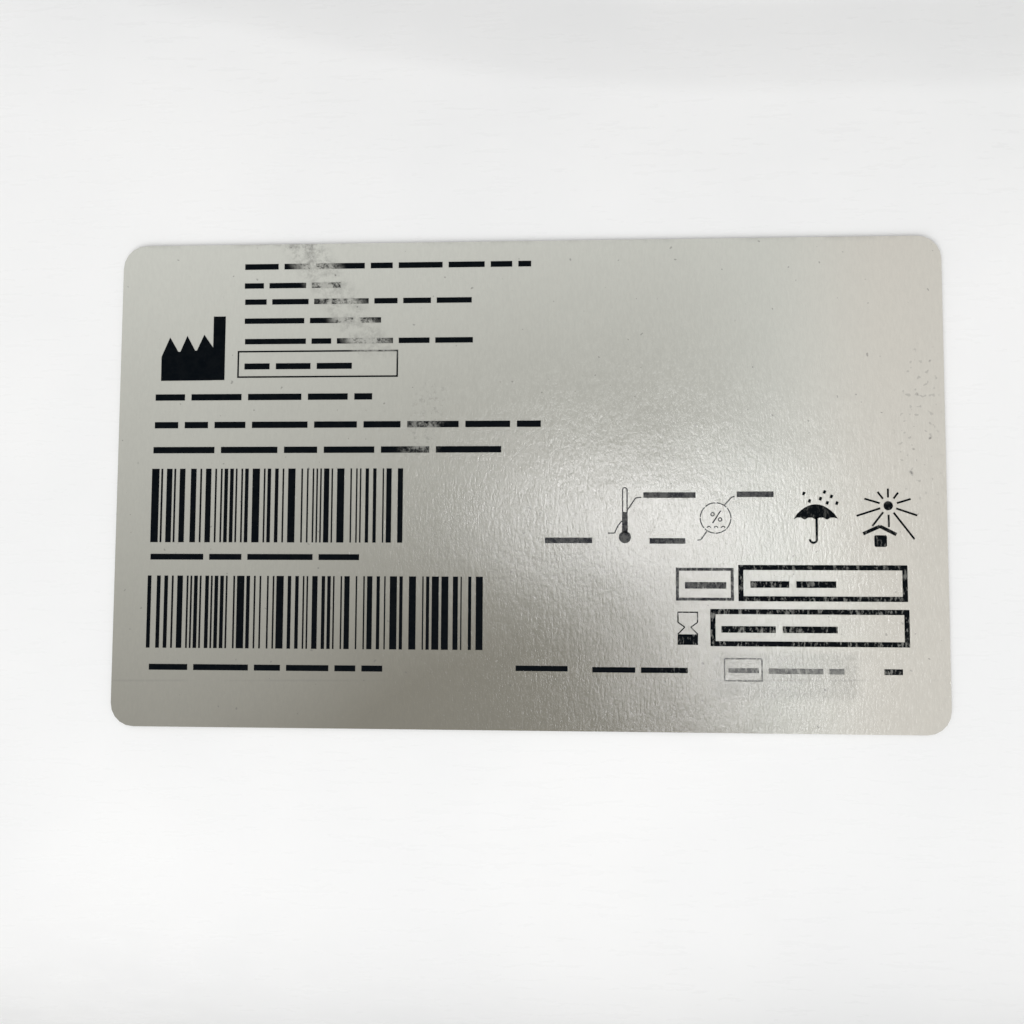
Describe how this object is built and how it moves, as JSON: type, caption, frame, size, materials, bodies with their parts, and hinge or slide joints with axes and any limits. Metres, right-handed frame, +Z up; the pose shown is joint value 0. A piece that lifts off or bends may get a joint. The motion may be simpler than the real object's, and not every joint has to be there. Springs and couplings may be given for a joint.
{
  "type": "powered circular stapler",
  "caption": "Powered circular stapler with a curved shaft, detachable anvil, adjusting knob and battery grip, lying in its packing tray beside the pack's label.",
  "frame": {"origin": "middle of the tray's underside", "axes": "+X along the tray towards the adjusting knob, +Y across the tray away from the grip, +Z up out of the tray"},
  "size_m": [0.5328, 0.266, 0.0577],
  "materials": {
    "board": "green solder mask",
    "brass": "turned",
    "casing_plastic": "satin moulded light grey",
    "cell_wrap": "printed sleeve",
    "clear_plastic": "clear",
    "dark_plastic": "satin moulded charcoal",
    "foam": "closed-cell white foam",
    "inner_plastic": "natural grey",
    "knob_plastic": "satin moulded dark grey",
    "label_film": "semi-gloss grey-white film",
    "safety_plastic": "satin moulded red",
    "shaft_plastic": "smooth grey",
    "steel": "fine turned",
    "tray_plastic": "formed white sheet",
    "trigger_plastic": "satin moulded blue",
    "white_plastic": "smooth white"
  },
  "bodies": {
    "tray": {"tray": "tray_plastic", "pack_label": "label_film", "foam_head": "foam", "foam_shaft": "foam", "foam_barrel": "foam", "foam_grip": "foam"},
    "instrument": {"battery_contacts": "brass", "casing_left": "casing_plastic", "casing_right": "casing_plastic", "casing_screw_1": "steel", "casing_screw_2": "steel", "casing_screw_3": "steel", "casing_screw_4": "steel", "circuit_board": "board", "drive_tube": "inner_plastic", "gap_scale": "white_plastic", "gap_window": "clear_plastic", "gearbox": "steel", "head_casing": "white_plastic", "motor": "dark_plastic", "motor_mount": "inner_plastic", "nose_collar": "dark_plastic", "pull_band": "steel", "safety_pin": "steel", "shaft_tube": "shaft_plastic", "staple_deck": "trigger_plastic", "status_light_1": "clear_plastic", "status_light_2": "clear_plastic", "status_light_3": "clear_plastic", "trigger_pin": "steel", "trigger_switch": "dark_plastic"},
    "knob": {"adjusting_knob": "knob_plastic", "lead_nut": "brass"},
    "closure": {"closure_screw": "steel"},
    "trocar": {"trocar": "steel", "band_coupling": "steel"},
    "anvil": {"anvil_head": "steel", "anvil_shank": "steel", "breakaway_washer": "white_plastic"},
    "indicator": {"gap_indicator": "safety_plastic"},
    "trigger": {"firing_trigger": "trigger_plastic"},
    "safety": {"safety_catch": "safety_plastic"},
    "cam": {"firing_cam": "steel"},
    "bracket": {"drive_bracket": "steel", "cam_roller": "steel"},
    "driver": {"staple_driver": "inner_plastic", "circular_knife": "steel"},
    "battery": {"battery_case": "dark_plastic", "battery_cell_1": "cell_wrap", "battery_cell_2": "cell_wrap", "battery_cell_3": "cell_wrap", "battery_cell_4": "cell_wrap"},
    "battery_latch": {"battery_latch": "trigger_plastic"}
  },
  "joints": [
    {"name": "lift_out", "type": "slide", "parent": "tray", "child": "instrument", "axis": [0, 0, 1], "range_m": [0, 0.12]},
    {"name": "knob_turn", "type": "hinge", "parent": "instrument", "child": "knob", "pos_m": [0.20782, 0.02231, 0.0365], "axis": [1, 0, 0], "range_deg": [0, 1890]},
    {"name": "screw_travel", "type": "slide", "parent": "instrument", "child": "closure", "axis": [1, 0, 0], "range_m": [0, 0.021]},
    {"name": "anvil_closing", "type": "slide", "parent": "instrument", "child": "trocar", "axis": [0.866, -0.5, 0], "range_m": [0, 0.021], "deforming": ["pull_band"]},
    {"name": "anvil_detach", "type": "slide", "parent": "trocar", "child": "anvil", "axis": [-0.866, 0.5, 0], "range_m": [0, 0.035]},
    {"name": "indicator_travel", "type": "slide", "parent": "instrument", "child": "indicator", "axis": [0.9981, -0.061, 0], "range_m": [0, 0.007]},
    {"name": "trigger_pull", "type": "hinge", "parent": "instrument", "child": "trigger", "pos_m": [0.07582, 0.00481, 0.0365], "axis": [0, 0, 1], "range_deg": [0, 15], "stiffness_Nm_per_rad": 0.8, "springref_deg": -28.65},
    {"name": "safety_swing", "type": "hinge", "parent": "instrument", "child": "safety", "pos_m": [0.09482, -0.00019, 0.0365], "axis": [0, 0, 1], "range_deg": [-50, 0]},
    {"name": "cam_turn", "type": "hinge", "parent": "instrument", "child": "cam", "pos_m": [0.10152, 0.00681, 0.0365], "axis": [1, 0, 0], "range_deg": [0, 180]},
    {"name": "bracket_push", "type": "slide", "parent": "instrument", "child": "bracket", "axis": [-1, 0, 0], "range_m": [0, 0.006]},
    {"name": "firing_stroke", "type": "slide", "parent": "instrument", "child": "driver", "axis": [-0.866, 0.5, 0], "range_m": [0, 0.006], "deforming": ["drive_tube"]},
    {"name": "battery_slide", "type": "slide", "parent": "instrument", "child": "battery", "axis": [0.2924, -0.9563, 0], "range_m": [0, 0.07]},
    {"name": "latch_press", "type": "slide", "parent": "battery", "child": "battery_latch", "axis": [-0.9563, -0.2924, 0], "range_m": [0, 0.0015], "stiffness_N_per_m": 600, "springref_m": -0.0005}
  ],
  "couplings": [
    {"joint": "screw_travel", "follows": "knob_turn", "m_per_rad": 0.00063661},
    {"joint": "anvil_closing", "follows": "knob_turn", "m_per_rad": 0.00063661},
    {"joint": "indicator_travel", "follows": "knob_turn", "m_per_rad": 0.0002122},
    {"joint": "cam_turn", "follows": "bracket_push", "rad_per_m": 523.6},
    {"joint": "firing_stroke", "follows": "bracket_push", "ratio": 1}
  ]
}
